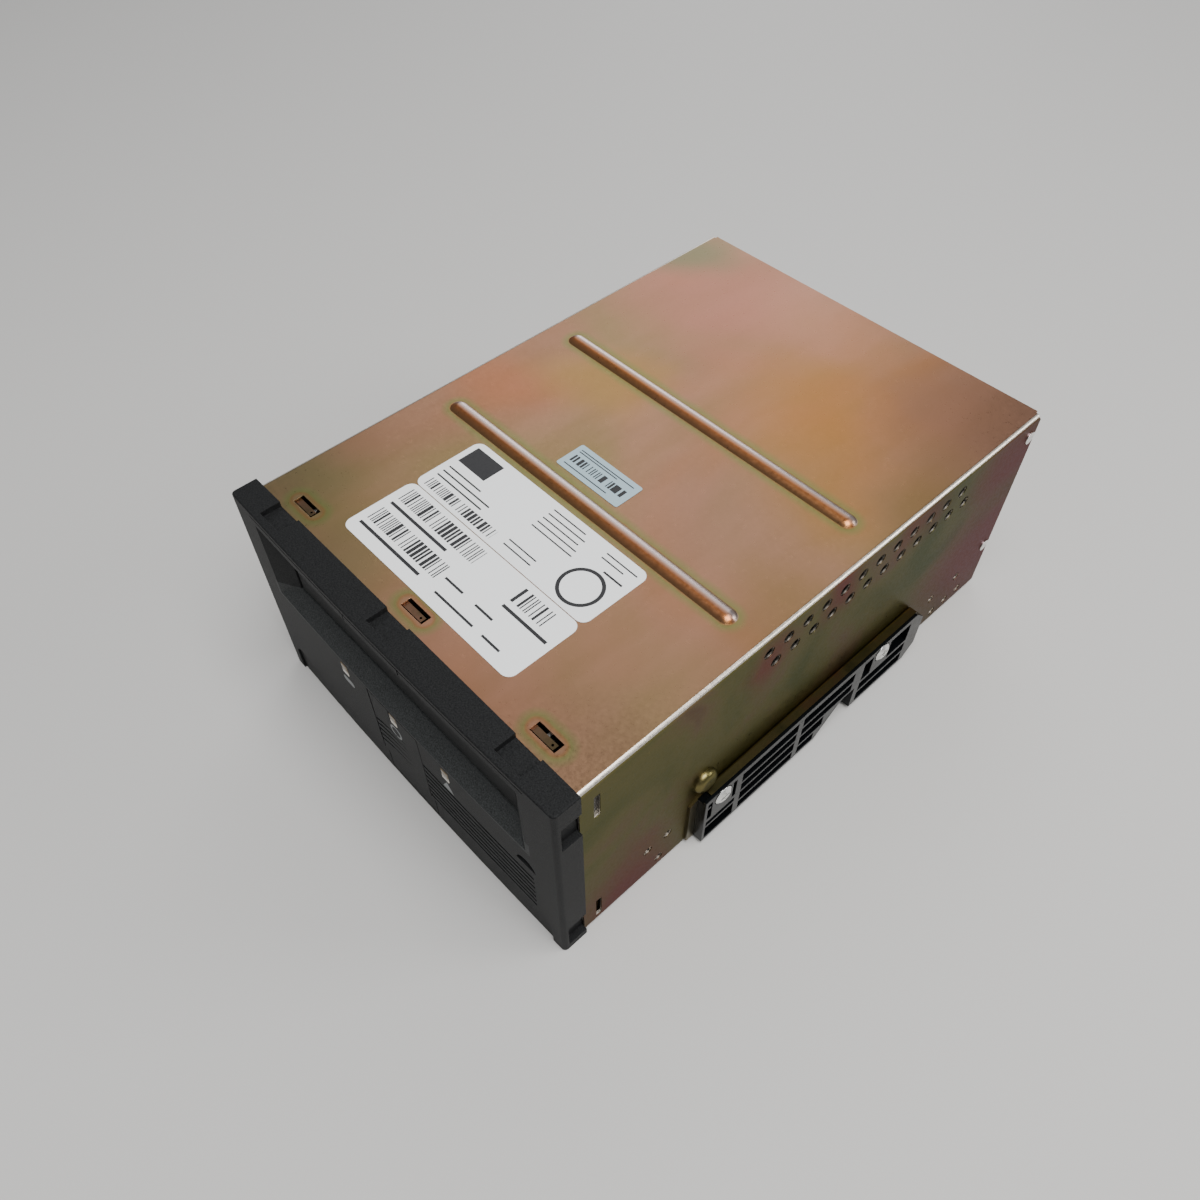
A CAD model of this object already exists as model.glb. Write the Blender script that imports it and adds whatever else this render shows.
"""Looks of a full-height tape drive for half-inch cartridges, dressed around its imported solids.

Metres. X is right, Y runs from the bezel to the rear and Z is up.
The origin is the bottom centre of the drive.
"""
import math

import bpy
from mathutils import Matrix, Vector


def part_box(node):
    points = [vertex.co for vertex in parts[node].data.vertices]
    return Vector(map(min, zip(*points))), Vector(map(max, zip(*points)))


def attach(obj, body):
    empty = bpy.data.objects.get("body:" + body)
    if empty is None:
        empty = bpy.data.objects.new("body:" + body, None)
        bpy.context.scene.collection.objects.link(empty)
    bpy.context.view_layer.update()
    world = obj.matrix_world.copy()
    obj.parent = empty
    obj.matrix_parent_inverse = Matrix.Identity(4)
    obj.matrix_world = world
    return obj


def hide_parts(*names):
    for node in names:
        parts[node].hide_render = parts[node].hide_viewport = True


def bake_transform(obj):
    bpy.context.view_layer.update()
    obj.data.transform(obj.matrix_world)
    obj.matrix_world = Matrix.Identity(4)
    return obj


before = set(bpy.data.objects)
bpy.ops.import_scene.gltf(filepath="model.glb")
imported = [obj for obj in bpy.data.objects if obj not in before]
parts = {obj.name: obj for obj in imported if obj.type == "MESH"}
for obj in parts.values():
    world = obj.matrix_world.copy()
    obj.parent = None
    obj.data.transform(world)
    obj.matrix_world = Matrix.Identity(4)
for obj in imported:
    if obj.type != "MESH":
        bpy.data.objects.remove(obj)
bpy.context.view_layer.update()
bpy.ops.object.select_all(action="DESELECT")

# Sheet-metal case: a cover folded into a U, the pan under it, the rear panel and the strap behind the bezel.
# Cold-rolled steel sheet, zinc plated and yellow chromated.
# It is satin tan with stains of rose, orange and olive.
case_low, case_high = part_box("top_cover")
case_front = case_low.y
bead_rise = 0.0015
case_top = case_high.z - bead_rise
bead_line = 0.0668
bead_step = 0.0522
bead_reach = 0.0595
catch_line = 0.00565
catch_step = 0.055
catch_reach = 0.004
shade_brown = (0.012, 0.010, 0.007)


def new_finish(name, color, roughness, metallic=0.0):
    """A plain finish, as its material, its node tree and its shader."""
    made = bpy.data.materials.new(name)
    made.use_nodes = True
    shader = made.node_tree.nodes["Principled BSDF"]
    shader.inputs["Base Color"].default_value = (*color, 1.0)
    shader.inputs["Roughness"].default_value = roughness
    shader.inputs["Metallic"].default_value = metallic
    return made, made.node_tree, shader


def node(tree, kind, **settings):
    """A node with its settings: sockets by name in `inputs`, links to them in `linked`."""
    made = tree.nodes.new(kind)
    for key, value in settings.pop("inputs", {}).items():
        made.inputs[key].default_value = value
    for key, socket in settings.pop("linked", {}).items():
        tree.links.new(socket, made.inputs[key])
    for key, value in settings.items():
        setattr(made, key, value)
    return made


def place_on(tree, scale=(1.0, 1.0, 1.0), at=(0.0, 0.0, 0.0)):
    """Object coordinates, scaled and moved."""
    where = node(tree, "ShaderNodeTexCoord")
    return node(tree, "ShaderNodeMapping", inputs={"Location": at, "Scale": scale},
                linked={"Vector": where.outputs["Object"]}).outputs["Vector"]


def noise(tree, scale, detail=3.0, rough=0.5, stretch=(1.0, 1.0, 1.0), at=(0.0, 0.0, 0.0), warp=0.0):
    """The grey value of a noise whose grains are about 1 / scale metres."""
    return node(tree, "ShaderNodeTexNoise",
                inputs={"Scale": scale, "Detail": detail, "Roughness": rough, "Distortion": warp},
                linked={"Vector": place_on(tree, stretch, at)}).outputs["Fac"]


def calc(tree, operation, *values):
    """A math node on sockets and numbers."""
    made = node(tree, "ShaderNodeMath", operation=operation)
    for index, value in enumerate(values):
        if isinstance(value, (int, float)):
            made.inputs[index].default_value = value
        else:
            tree.links.new(value, made.inputs[index])
    return made.outputs["Value"]


def ramp(tree, value, stops):
    """A colour ramp over a grey value; stops are (place, colour)."""
    made = node(tree, "ShaderNodeValToRGB", linked={"Fac": value})
    band = made.color_ramp
    while len(band.elements) < len(stops):
        band.elements.new(0.5)
    for element, (place, color) in zip(band.elements, stops):
        element.position = place
        element.color = (*color, 1.0)
    return made.outputs["Color"]


def mixed(tree, amount, first, second, blend="MIX"):
    """Two colours mixed by an amount."""
    made = node(tree, "ShaderNodeMix", data_type="RGBA", blend_type=blend)
    for socket, value in (("Factor", amount), ("A", first), ("B", second)):
        target = [s for s in made.inputs if s.name == socket and (socket == "Factor" or s.type == "RGBA")][0]
        if isinstance(value, float):
            target.default_value = value
        elif isinstance(value, tuple):
            target.default_value = (*value, 1.0)
        else:
            tree.links.new(value, target)
    return made.outputs[2]


def bar_distance(tree, axes, middle, reach):
    """Distance in metres from a line along X through `middle`, of half length `reach`."""
    beyond = calc(tree, "SUBTRACT", calc(tree, "ABSOLUTE", calc(tree, "SUBTRACT", axes[0], middle[0])), reach)
    across = calc(tree, "MAXIMUM", beyond, 0.0)
    along = calc(tree, "SUBTRACT", axes[1], middle[1])
    total = calc(tree, "ADD", calc(tree, "MULTIPLY", across, across), calc(tree, "MULTIPLY", along, along))
    return calc(tree, "SQRT", total)


def fade(tree, value, near, far):
    """One where a value is below `near`, zero above `far` and a soft step between."""
    made = node(tree, "ShaderNodeMapRange", interpolation_type="SMOOTHSTEP",
                inputs={"From Min": near, "From Max": far, "To Min": 1.0, "To Max": 0.0})
    tree.links.new(value, made.inputs["Value"])
    return made.outputs["Result"]


def wandering(tree, reach, scale):
    """Object coordinates that a coarse noise pushes about, so that stains have no drawn outline."""
    push = node(tree, "ShaderNodeTexNoise", inputs={"Scale": scale, "Detail": 3.0},
                linked={"Vector": place_on(tree)})
    centred = node(tree, "ShaderNodeVectorMath", operation="SUBTRACT", linked={0: push.outputs["Color"]})
    centred.inputs[1].default_value = (0.5, 0.5, 0.5)
    scaled = node(tree, "ShaderNodeVectorMath", operation="SCALE", linked={0: centred.outputs["Vector"]})
    scaled.inputs["Scale"].default_value = reach
    added = node(tree, "ShaderNodeVectorMath", operation="ADD",
                 linked={0: place_on(tree), 1: scaled.outputs["Vector"]})
    return added.outputs["Vector"]


def stain(tree, where, spot, near, far):
    """A soft round stain about a spot."""
    away = node(tree, "ShaderNodeVectorMath", operation="DISTANCE", linked={0: where})
    away.inputs[1].default_value = spot
    return fade(tree, away.outputs["Value"], near, far)


def chromate(name):
    """Yellow chromate over zinc: interference tints in clouds, and pale green rings round pressed features."""
    made, tree, shader = new_finish(name, (0.36, 0.20, 0.10), 0.34, 1.0)
    cloud = noise(tree, 14.0, 2.5, 0.5, (1.0, 0.75, 1.0), warp=0.6)
    tint = ramp(tree, cloud, [(0.32, (0.30, 0.215, 0.095)), (0.44, (0.36, 0.205, 0.115)),
                              (0.54, (0.40, 0.20, 0.125)), (0.66, (0.41, 0.175, 0.085))])
    fine = noise(tree, 60.0, 4.0, 0.6, (1.0, 0.3, 1.0))
    speckle = ramp(tree, fine, [(0.35, (0.26, 0.18, 0.085)), (0.62, (0.46, 0.27, 0.18))])
    worn = mixed(tree, 0.25, tint, speckle)
    where = wandering(tree, 0.05, 16.0)
    axes = node(tree, "ShaderNodeSeparateXYZ", linked={"Vector": place_on(tree)}).outputs
    for x, y, near, far, amount, color in (
            (0.022, 0.156, 0.000, 0.060, 0.65, (0.48, 0.19, 0.035)),
            (0.048, 0.125, 0.004, 0.030, 0.50, (0.40, 0.20, 0.055)),
            (-0.040, 0.170, 0.010, 0.050, 0.55, (0.48, 0.185, 0.14)),
            (-0.012, 0.190, 0.005, 0.035, 0.45, (0.52, 0.25, 0.17)),
            (0.060, 0.190, 0.010, 0.040, 0.50, (0.27, 0.15, 0.105)),
            (-0.072, 0.190, 0.004, 0.026, 0.70, (0.17, 0.20, 0.10)),
            (0.073, 0.150, 0.004, 0.030, 0.60, (0.22, 0.15, 0.050)),
            (0.073, 0.080, 0.004, 0.030, 0.50, (0.26, 0.16, 0.060)),
            (-0.040, 0.112, 0.004, 0.026, 0.60, (0.42, 0.25, 0.07)),
            (-0.056, 0.085, 0.004, 0.030, 0.50, (0.48, 0.18, 0.09)),
            (0.030, 0.095, 0.006, 0.040, 0.40, (0.34, 0.19, 0.13)),
            (-0.070, 0.010, 0.004, 0.030, 0.60, (0.21, 0.20, 0.095)),
            (0.065, 0.012, 0.004, 0.026, 0.40, (0.25, 0.16, 0.09)),
            (-0.030, 0.003, 0.002, 0.022, 0.45, (0.25, 0.20, 0.10))):
        spread = stain(tree, where, (x, case_front + y, case_top), near, far)
        worn = mixed(tree, calc(tree, "MULTIPLY", spread, amount), worn, color)
    nearest = None
    for back in (bead_line, bead_line + bead_step):
        found = bar_distance(tree, axes, (0.0, case_front + back), bead_reach)
        nearest = found if nearest is None else calc(tree, "MINIMUM", nearest, found)
    for across in (-catch_step, 0.0, catch_step):
        found = bar_distance(tree, axes, (across, case_front + catch_line), catch_reach)
        nearest = calc(tree, "MINIMUM", nearest, found)
    ripple = calc(tree, "ADD", nearest, calc(tree, "MULTIPLY", noise(tree, 160.0, 2.0), 0.0012))
    reach = calc(tree, "MULTIPLY", ripple, 50.0)
    rust = ramp(tree, reach, [(0.12, (0.0, 0.0, 0.0)), (0.17, (0.8, 0.8, 0.8)), (0.24, (0.0, 0.0, 0.0))])
    worn = mixed(tree, calc(tree, "MULTIPLY", rust, 0.6), worn, (0.30, 0.13, 0.03))
    halo = ramp(tree, reach, [(0.16, (0.0, 0.0, 0.0)), (0.21, (0.9, 0.9, 0.9)), (0.34, (0.0, 0.0, 0.0))])
    worn = mixed(tree, calc(tree, "MULTIPLY", halo, 0.7), worn, (0.20, 0.25, 0.085))
    for back in (bead_line, bead_line + bead_step):
        found = bar_distance(tree, axes, (0.0, case_front + back), bead_reach)
        on_bead = fade(tree, found, 0.0026, 0.0034)
        slope = calc(tree, "SUBTRACT", axes[1], case_front + back)
        rolled = ramp(tree, calc(tree, "ADD", calc(tree, "MULTIPLY", slope, 150.0), 0.5),
                      [(0.05, (0.30, 0.17, 0.09)), (0.36, (0.48, 0.17, 0.055)), (0.50, (0.46, 0.27, 0.20)),
                       (0.62, (0.62, 0.52, 0.52)), (0.84, (0.50, 0.44, 0.42)), (0.96, (0.10, 0.08, 0.06))])
        worn = mixed(tree, calc(tree, "MULTIPLY", on_bead, 0.85), worn, rolled)
    side_face = 0.0722
    from_middle = calc(tree, "ABSOLUTE", axes[0])
    side = calc(tree, "GREATER_THAN", from_middle, side_face)
    olive = ramp(tree, noise(tree, 28.0, 4.0, 0.55, warp=0.8),
                 [(0.30, (0.120, 0.118, 0.042)), (0.50, (0.165, 0.142, 0.055)),
                  (0.62, (0.180, 0.130, 0.066)), (0.75, (0.150, 0.090, 0.052))])
    for y, z, near, far in (
            (0.020, 0.006, 0.006, 0.030), (0.190, 0.020, 0.010, 0.045), (0.195, 0.070, 0.004, 0.030),
            (0.110, 0.078, 0.002, 0.016), (0.075, 0.074, 0.002, 0.014), (0.150, 0.072, 0.002, 0.016)):
        for edge in (-0.073, 0.073):
            spread = stain(tree, where, (edge, case_front + y, z), near, far)
            olive = mixed(tree, calc(tree, "MULTIPLY", spread, 0.85), olive, (0.200, 0.070, 0.052))
    worn = mixed(tree, side, worn, olive)
    # The sides mirror less at a grazing view than the top does.
    glance = mixed(tree, side, (1.0, 1.0, 1.0), (0.43, 0.46, 0.52))
    tree.links.new(glance, shader.inputs["Specular Tint"])
    # The bend is burnished to bright metal.
    bend_low, bend_high = 0.0717, 0.0728
    bend = calc(tree, "MULTIPLY", calc(tree, "GREATER_THAN", from_middle, bend_low),
                calc(tree, "LESS_THAN", from_middle, bend_high))
    worn = mixed(tree, calc(tree, "MULTIPLY", bend, 0.85), worn, (0.95, 0.88, 0.78))
    # The inner faces lie in the case's own shade.
    inner_side, sheet_skin = 0.0723, 0.0006
    within = calc(tree, "MULTIPLY", calc(tree, "LESS_THAN", from_middle, inner_side),
                  calc(tree, "LESS_THAN", axes[2], case_top - sheet_skin))
    worn = mixed(tree, calc(tree, "MULTIPLY", within, 0.9), worn, shade_brown)
    tree.links.new(worn, shader.inputs["Base Color"])
    grain = noise(tree, 900.0, 3.0, 0.6)
    gloss = ramp(tree, grain, [(0.3, (0.27, 0.27, 0.27)), (0.7, (0.40, 0.40, 0.40))])
    tree.links.new(gloss, shader.inputs["Roughness"])
    soft = node(tree, "ShaderNodeBevel", inputs={"Radius": 0.00012})
    rise = node(tree, "ShaderNodeBump", inputs={"Strength": 0.05, "Distance": 0.0002},
                linked={"Height": noise(tree, 1400.0, 2.0, 0.6), "Normal": soft.outputs["Normal"]})
    tree.links.new(rise.outputs["Normal"], shader.inputs["Normal"])
    return made


def dress(material, *names):
    """Gives CAD pieces their finish."""
    for name in names:
        parts[name].data.materials.clear()
        parts[name].data.materials.append(material)


dress(chromate("chromated_case"), "top_cover")
flange_side = 0.0708
for name, scale, stops, piece in (
        ("rear_chromate", 16.0,
         [(0.32, (0.27, 0.235, 0.13)), (0.5, (0.36, 0.265, 0.165)), (0.68, (0.35, 0.21, 0.13))], "rear_panel"),
        ("bronzed_chromate", 90.0, [(0.35, (0.10, 0.075, 0.04)), (0.65, (0.19, 0.105, 0.07))], "front_strap"),
        ("pan_chromate", 22.0,
         [(0.30, (0.18, 0.155, 0.075)), (0.5, (0.27, 0.19, 0.10)), (0.70, (0.29, 0.15, 0.085))],
         "chassis_tray")):
    made, tree, shader = new_finish(name, (0.25, 0.18, 0.10), 0.34, 1.0)
    axes = node(tree, "ShaderNodeSeparateXYZ", linked={"Vector": place_on(tree)}).outputs
    flange = calc(tree, "GREATER_THAN", calc(tree, "ABSOLUTE", axes[0]), flange_side)
    clouds = ramp(tree, noise(tree, scale, 4.0, 0.6, warp=0.8), stops)
    if name != "rear_chromate":
        clouds = mixed(tree, calc(tree, "MULTIPLY", flange, 0.95), clouds, shade_brown)
    tree.links.new(clouds, shader.inputs["Base Color"])
    dress(made, piece)
olive_drab, tree, shader = new_finish("olive_chromate", (0.12, 0.10, 0.05), 0.32, 1.0)
tree.links.new(ramp(tree, noise(tree, 60.0, 4.0, 0.6, warp=0.8),
                    [(0.30, (0.060, 0.058, 0.028)), (0.50, (0.115, 0.095, 0.042)),
                     (0.70, (0.135, 0.080, 0.045))]),
               shader.inputs["Base Color"])
dress(olive_drab, "rail_bracket_right", "rail_bracket_left")

# Bezel, its door and the eject panel: charcoal mouldings with a fine spark-eroded grain that glints in points.
# Three plain signs, a bar, a ring and a triangle, are printed in grey beside the lights.
# The ramp of the cartridge mouth has a coarser, paler grain.
sign_height, sign_step, sign_band = 0.0383, 0.0255, 0.004
bar_reach, bar_half = 0.0016, 0.0014
ring_radius, ring_half = 0.0025, 0.00042
triangle_top, triangle_foot, triangle_slope = 0.0026, 0.0020, 1.8
ramp_middle, ramp_half, ramp_side = 0.0523, 0.0033, 0.0628
bezel_black, tree, shader = new_finish("charcoal_moulding", (0.008, 0.0085, 0.009), 0.55)
shader.inputs["Specular IOR Level"].default_value = 0.14
shader.inputs["Specular Tint"].default_value = (0.6, 0.6, 0.6, 1.0)
grit = noise(tree, 2600.0, 2.0, 0.7)
axes = node(tree, "ShaderNodeSeparateXYZ", linked={"Vector": place_on(tree)}).outputs
charcoal = ramp(tree, grit, [(0.3, (0.0055, 0.0057, 0.006)), (0.7, (0.021, 0.0215, 0.022))])
coarse = ramp(tree, noise(tree, 2300.0, 2.0, 0.8),
              [(0.30, (0.018, 0.019, 0.019)), (0.70, (0.058, 0.061, 0.061))])
ramp_rise = calc(tree, "ABSOLUTE", calc(tree, "SUBTRACT", axes[2], ramp_middle))
on_ramp = calc(tree, "MULTIPLY", calc(tree, "LESS_THAN", ramp_rise, ramp_half),
               calc(tree, "LESS_THAN", calc(tree, "ABSOLUTE", axes[0]), ramp_side))
charcoal = mixed(tree, on_ramp, charcoal, coarse)
up = calc(tree, "ABSOLUTE", calc(tree, "SUBTRACT", axes[2], sign_height))
bar_across = calc(tree, "ABSOLUTE", calc(tree, "ADD", axes[0], sign_step))
bar_end = calc(tree, "MAXIMUM", calc(tree, "SUBTRACT", bar_across, bar_reach), 0.0)
bar_span = calc(tree, "SQRT", calc(tree, "ADD", calc(tree, "MULTIPLY", bar_end, bar_end),
                                   calc(tree, "MULTIPLY", up, up)))
bar = calc(tree, "LESS_THAN", bar_span, bar_half)
span = calc(tree, "SQRT", calc(tree, "ADD", calc(tree, "MULTIPLY", axes[0], axes[0]),
                               calc(tree, "MULTIPLY", up, up)))
ring = calc(tree, "LESS_THAN", calc(tree, "ABSOLUTE", calc(tree, "SUBTRACT", span, ring_radius)), ring_half)
triangle_across = calc(tree, "ABSOLUTE", calc(tree, "SUBTRACT", axes[0], sign_step))
lean = calc(tree, "MULTIPLY", triangle_across, triangle_slope)
slope = calc(tree, "ADD", lean, calc(tree, "SUBTRACT", axes[2], sign_height))
triangle = calc(tree, "MULTIPLY", calc(tree, "LESS_THAN", slope, triangle_top),
                calc(tree, "GREATER_THAN", axes[2], sign_height - triangle_foot))
signs = calc(tree, "MAXIMUM", calc(tree, "MAXIMUM", bar, ring), triangle)
near_lights = calc(tree, "LESS_THAN", up, sign_band)
printed = calc(tree, "MULTIPLY", calc(tree, "MULTIPLY", signs, near_lights), 0.8)
tree.links.new(mixed(tree, printed, charcoal, (0.34, 0.35, 0.35)), shader.inputs["Base Color"])
soft = node(tree, "ShaderNodeBevel", inputs={"Radius": 0.0003})
rise = node(tree, "ShaderNodeBump", inputs={"Strength": 0.25, "Distance": 0.0002},
            linked={"Height": grit, "Normal": soft.outputs["Normal"]})
tree.links.new(rise.outputs["Normal"], shader.inputs["Normal"])
dress(bezel_black, "front_bezel", "tape_door", "eject_button")

# Side rails: black mouldings off a polished tool, glossy with brighter edges and faint flow marks.
def textured(name, color, roughness, metallic=0.0, scale=120.0, grain=0.03,
             stretch=(1.0, 1.0, 1.0), edge=0.0002):
    """An uneven finish: cloudy tone, patchy gloss, fine grain and softened edges."""
    made, tree, shader = new_finish(name, color, roughness, metallic)
    cloud = noise(tree, scale, 3.0, 0.6, stretch)
    deep = tuple(0.78 * part for part in color)
    pale = tuple(min(1.16 * part, 1.0) for part in color)
    tree.links.new(ramp(tree, cloud, [(0.3, deep), (0.7, pale)]), shader.inputs["Base Color"])
    gloss = ramp(tree, noise(tree, scale * 2.3, 4.0, 0.6, stretch),
                 [(0.3, (roughness * 0.8,) * 3), (0.7, (roughness * 1.2,) * 3)])
    tree.links.new(gloss, shader.inputs["Roughness"])
    soft = node(tree, "ShaderNodeBevel", inputs={"Radius": edge})
    rise = node(tree, "ShaderNodeBump", inputs={"Strength": grain, "Distance": 0.0002},
                linked={"Height": noise(tree, scale * 12.0, 2.0, 0.6, stretch),
                        "Normal": soft.outputs["Normal"]})
    tree.links.new(rise.outputs["Normal"], shader.inputs["Normal"])
    return made, tree, shader


rail_black, tree, shader = textured("rail_moulding", (0.0025, 0.003, 0.0035), 0.24, edge=0.0003)
shader.inputs["Specular IOR Level"].default_value = 0.16
shader.inputs["Specular Tint"].default_value = (0.45, 0.47, 0.50, 1.0)
dress(rail_black, "rail_right", "rail_left")

# Screws: pressed steel with bright zinc plate, a little cloudy on the heads.
dress(textured("bright_zinc", (0.78, 0.78, 0.76), 0.24, 1.0, 500.0, 0.08)[0],
      "rail_screws_right", "rail_screws_left", "cover_screws", "deck_screws", "board_screws",
      "front_board_screws")

# Lenses: one diffusing moulding, dull amber while the lights are off and paler at the foot of each lens.
amber, tree, shader = textured("amber_lens", (0.30, 0.22, 0.12), 0.2, scale=300.0)
axes = node(tree, "ShaderNodeSeparateXYZ", linked={"Vector": place_on(tree)}).outputs
foot_low, foot_high = 0.0435, 0.0455
foot = fade(tree, axes[2], foot_low, foot_high)
tree.links.new(mixed(tree, foot, (0.16, 0.12, 0.07), (0.62, 0.58, 0.50)), shader.inputs["Base Color"])
dress(amber, "light_pipes")

# Springs: coils of steel wire. The door's spring keeps its CAD shape.
# The button's spring closes up: its front end goes in with the button and its rear end stays on the board.
wire = textured("spring_wire", (0.50, 0.50, 0.49), 0.28, 1.0, 900.0, 0.05)[0]
spring = bpy.data.objects.new("button_coil", parts["eject_spring"].data.copy())
bpy.context.scene.collection.objects.link(spring)
bpy.context.view_layer.objects.active = spring
spring.select_set(True)
bpy.ops.object.mode_set(mode="EDIT")
bpy.ops.mesh.select_all(action="SELECT")
bpy.ops.mesh.remove_doubles(threshold=0.000001)
bpy.ops.object.mode_set(mode="OBJECT")
bpy.ops.object.shade_smooth_by_angle(angle=math.radians(40))
spring.select_set(False)
spring.data.materials.clear()
spring.data.materials.append(wire)
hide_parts("eject_spring")
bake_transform(spring)
dress(wire, "door_spring")

# Inner pieces, seen through the slot and the vents: castings, folded and turned steel, motors, boards, gears.
# Each group has the finish of its making: cast grain, rolling marks along Y, lathe or moulding marks.
for name, color, roughness, metallic, scale, grain, stretch, group in (
        ("solder_mask", (0.015, 0.10, 0.05), 0.35, 0.0, 260.0, 0.05, (1.0, 1.0, 1.0),
         ("front_board", "main_board")),
        ("moulded_parts", (0.02, 0.02, 0.02), 0.45, 0.0, 400.0, 0.10, (1.0, 1.0, 1.0),
         ("front_board_parts", "eject_switch", "board_chips", "jumper_block", "data_connector",
          "power_connector")),
        ("cast_aluminium", (0.60, 0.60, 0.59), 0.42, 1.0, 150.0, 0.25, (1.0, 1.0, 1.0),
         ("deck_plate", "guide_plate", "head_bridge", "head_carriage")),
        ("rolled_steel", (0.50, 0.49, 0.47), 0.34, 1.0, 180.0, 0.06, (1.0, 0.06, 1.0),
         ("cartridge_carrier", "loader_frame_right", "loader_frame_left", "loader_bracket")),
        ("turned_steel", (0.55, 0.55, 0.54), 0.26, 1.0, 300.0, 0.06, (1.0, 1.0, 6.0),
         ("deck_posts", "board_spacers", "roller_posts", "head_rods", "lead_screw", "cam_axle", "carrier_pins",
          "take_up_spindle")),
        ("mount_rubber", (0.02, 0.02, 0.02), 0.8, 0.0, 300.0, 0.3, (1.0, 1.0, 1.0), ("deck_isolators",)),
        ("motor_shell", (0.09, 0.09, 0.10), 0.4, 0.6, 200.0, 0.08, (1.0, 1.0, 1.0),
         ("supply_motor", "take_up_motor", "head_motor", "loader_motor")),
        ("reel_grey", (0.10, 0.105, 0.11), 0.5, 0.0, 250.0, 0.08, (1.0, 1.0, 1.0),
         ("take_up_reel", "drive_coupling")),
        ("natural_nylon", (0.70, 0.68, 0.58), 0.45, 0.0, 200.0, 0.06, (1.0, 1.0, 1.0),
         ("loader_cam", "loader_pinion")),
        ("polished_roller", (0.75, 0.75, 0.75), 0.18, 1.0, 400.0, 0.03, (1.0, 1.0, 8.0),
         ("guide_roller_1", "guide_roller_2", "guide_roller_3", "guide_roller_4")),
        ("lapped_ceramic", (0.05, 0.05, 0.05), 0.15, 0.0, 600.0, 0.02, (1.0, 1.0, 1.0), ("tape_head",))):
    dress(textured(name, color, roughness, metallic, scale, grain, stretch)[0], *group)

# Labels on the cover: coated paper with rounded corners, lying flat.
# Their print is generic: blocks of bars, plain rules where rows would stand, and blank fields.
paper_gap, paper_thickness = 0.00002, 0.00012
stripes_per_metre, stripe_share = 2400.0, 0.47
stamp_radius, stamp_half = 0.0066, 0.0006
ink_black = (0.012, 0.012, 0.014)


def sticker(name, left, front, right, back, paper, radius=0.003):
    """A paper label lying on the cover, its corners rounded; the sizes are the drive's own millimetres."""
    bpy.ops.mesh.primitive_plane_add(size=1.0)
    made = bpy.context.object
    made.name = name
    made.scale = ((right - left) / 1000, (back - front) / 1000, 1.0)
    made.location = ((right + left) / 2000, case_front + (back + front) / 2000, case_top + paper_gap)
    bpy.ops.object.transform_apply(location=True, rotation=True, scale=True)
    bpy.ops.object.mode_set(mode="EDIT")
    bpy.ops.mesh.select_all(action="SELECT")
    bpy.ops.mesh.bevel(offset=radius, segments=6, affect="VERTICES")
    bpy.ops.mesh.extrude_region_move(TRANSFORM_OT_translate={"value": (0, 0, paper_thickness)})
    bpy.ops.mesh.select_all(action="SELECT")
    bpy.ops.mesh.normals_make_consistent(inside=False)
    bpy.ops.object.mode_set(mode="OBJECT")
    made.data.materials.append(paper)
    made.select_set(False)
    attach(made, "chassis")
    return made


def inside(tree, axes, left, front, right, back):
    """One inside a rectangle on the cover, zero outside it."""
    across = calc(tree, "ABSOLUTE", calc(tree, "SUBTRACT", axes[0], (left + right) / 2000))
    along = calc(tree, "ABSOLUTE", calc(tree, "SUBTRACT", axes[1], case_front + (front + back) / 2000))
    return calc(tree, "MULTIPLY", calc(tree, "LESS_THAN", across, (right - left) / 2000),
                calc(tree, "LESS_THAN", along, (back - front) / 2000))


def printed_paper(name, color, bars, rules, ring_at=None):
    """Coated paper printed with bar blocks and plain rules, given as rectangles, and a ring."""
    made, tree, shader = textured(name, color, 0.45, scale=500.0, edge=0.00004)
    axes = node(tree, "ShaderNodeSeparateXYZ", linked={"Vector": place_on(tree)}).outputs
    column = calc(tree, "FLOOR", calc(tree, "MULTIPLY", axes[0], stripes_per_metre))
    chance = tree.nodes.new("ShaderNodeTexWhiteNoise")
    chance.noise_dimensions = "1D"
    tree.links.new(column, chance.inputs["W"])
    stripe = calc(tree, "GREATER_THAN", chance.outputs["Value"], stripe_share)
    ink = None
    for block in bars:
        found = calc(tree, "MULTIPLY", stripe, inside(tree, axes, *block))
        ink = found if ink is None else calc(tree, "MAXIMUM", ink, found)
    for block in rules:
        ink = calc(tree, "MAXIMUM", ink, inside(tree, axes, *block))
    if ring_at:
        across = calc(tree, "SUBTRACT", axes[0], ring_at[0] / 1000)
        along = calc(tree, "SUBTRACT", axes[1], case_front + ring_at[1] / 1000)
        span = calc(tree, "SQRT", calc(tree, "ADD", calc(tree, "MULTIPLY", across, across),
                                       calc(tree, "MULTIPLY", along, along)))
        away = calc(tree, "ABSOLUTE", calc(tree, "SUBTRACT", span, stamp_radius))
        edge = calc(tree, "LESS_THAN", away, stamp_half)
        ink = calc(tree, "MAXIMUM", ink, edge)
    tree.links.new(mixed(tree, ink, color, ink_black), shader.inputs["Base Color"])
    return made


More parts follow.
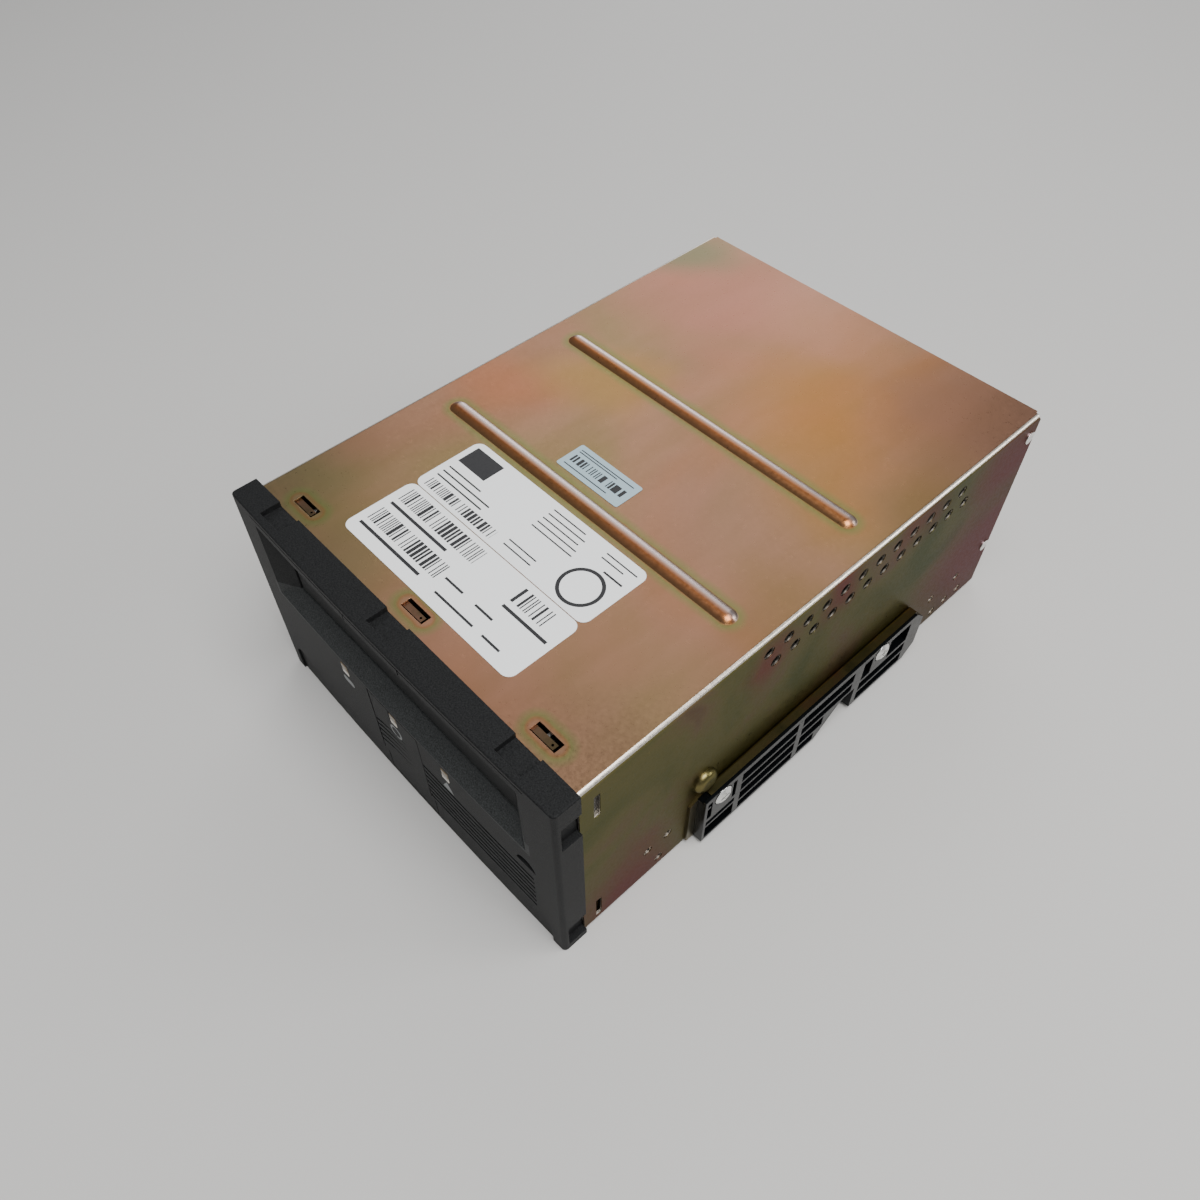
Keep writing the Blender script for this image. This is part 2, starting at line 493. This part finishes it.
rating_paper = printed_paper(
    "rating_paper", (0.86, 0.87, 0.87), [(-39.4, 37.1, -7.4, 40.9)],
    [(-39.7, 51.0, -27.0, 59.3)]
    + [(-39.4, y, x, y + 0.6) for y, x in ((47.2, -24.0), (44.8, -17.0), (42.5, -18.0))]
    + [(-3.0, y, x, y + 0.5) for y, x in ((58.6, 11.0), (56.4, 13.0), (54.2, 12.5), (52.0, 14.0), (49.8, 14.5))]
    + [(20.5, 58.2, 33.0, 58.7), (20.5, 56.1, 29.5, 56.6), (25.0, 52.6, 32.5, 53.3), (-3.0, 41.2, 9.0, 41.7),
       (-3.0, 39.0, 9.0, 39.5)], (24.7, 44.4))
serial_paper = printed_paper(
    "serial_paper", (0.86, 0.87, 0.87),
    [(-39.0, 27.4, -3.1, 33.4), (-39.0, 16.2, -6.2, 22.3), (14.7, 26.9, 28.3, 33.0)],
    [(-39.0, 24.6, -12.0, 25.7), (-39.0, 13.4, -10.0, 14.5), (14.7, 23.9, 33.0, 25.0), (-4.0, 18.5, 4.0, 19.3),
     (9.5, 18.5, 17.0, 19.3), (-2.0, 13.2, 15.0, 14.0), (19.0, 13.2, 26.5, 14.0)])
small_paper = printed_paper(
    "small_paper", (0.34, 0.45, 0.50), [(-16.6, 76.6, 6.9, 79.8)],
    [(-16.6, 82.2, 6.9, 82.6), (-16.6, 81.2, 0.5, 81.6), (-16.6, 74.6, 2.5, 75.0)])
sticker("rating_label", -41.9, 35.6, 35.3, 61.6, rating_paper)
sticker("serial_label", -41.9, 9.3, 35.3, 35.3, serial_paper)
sticker("small_label", -18.4, 72.9, 9.0, 84.4, small_paper, 0.0008)

# Floor, light and camera.
bpy.ops.mesh.primitive_plane_add(size=6.0, location=(0.0, 0.0, 0.0))
floor = bpy.context.object
floor.name = "studio_floor"
floor.data.materials.append(new_finish("pale_floor", (0.55, 0.54, 0.525), 0.7)[0])
world = bpy.data.worlds.new("studio")
bpy.context.scene.world = world
world.use_nodes = True
world.node_tree.nodes["Background"].inputs["Color"].default_value = (0.86, 0.89, 0.92, 1.0)
world.node_tree.nodes["Background"].inputs["Strength"].default_value = 0.30
for name, spot, size, power, color in (
        ("back_panel", (-0.90, 0.95, 1.20), 1.2, 5.0, (1.0, 0.99, 0.97)),
        ("low_panel", (-0.80, 1.10, 0.30), 0.6, 3.0, (0.97, 0.97, 1.0)),
        ("top_light", (0.40, -0.15, 1.15), 0.8, 19.0, (1.0, 1.0, 1.0)),
        ("edge_light", (0.75, 0.75, 0.60), 0.4, 3.5, (1.0, 0.99, 0.96))):
    lamp = bpy.data.lights.new(name, "AREA")
    lamp.size = size
    lamp.energy = power
    lamp.color = color
    holder = bpy.data.objects.new(name, lamp)
    bpy.context.scene.collection.objects.link(holder)
    holder.location = spot
    holder.rotation_euler = (Vector((0.0, 0.0, 0.04)) - Vector(spot)).to_track_quat("-Z", "Y").to_euler()
lens = bpy.data.cameras.new("camera")
lens.sensor_width = 36.0
lens.lens = 30.174
lens.clip_start = 0.01
camera = bpy.data.objects.new("camera", lens)
bpy.context.scene.collection.objects.link(camera)
camera.location = (0.161405, -0.169646, 0.300587)
camera.rotation_euler = [math.radians(angle) for angle in (39.0297, 0.3469, 47.18)]
bpy.context.scene.camera = camera
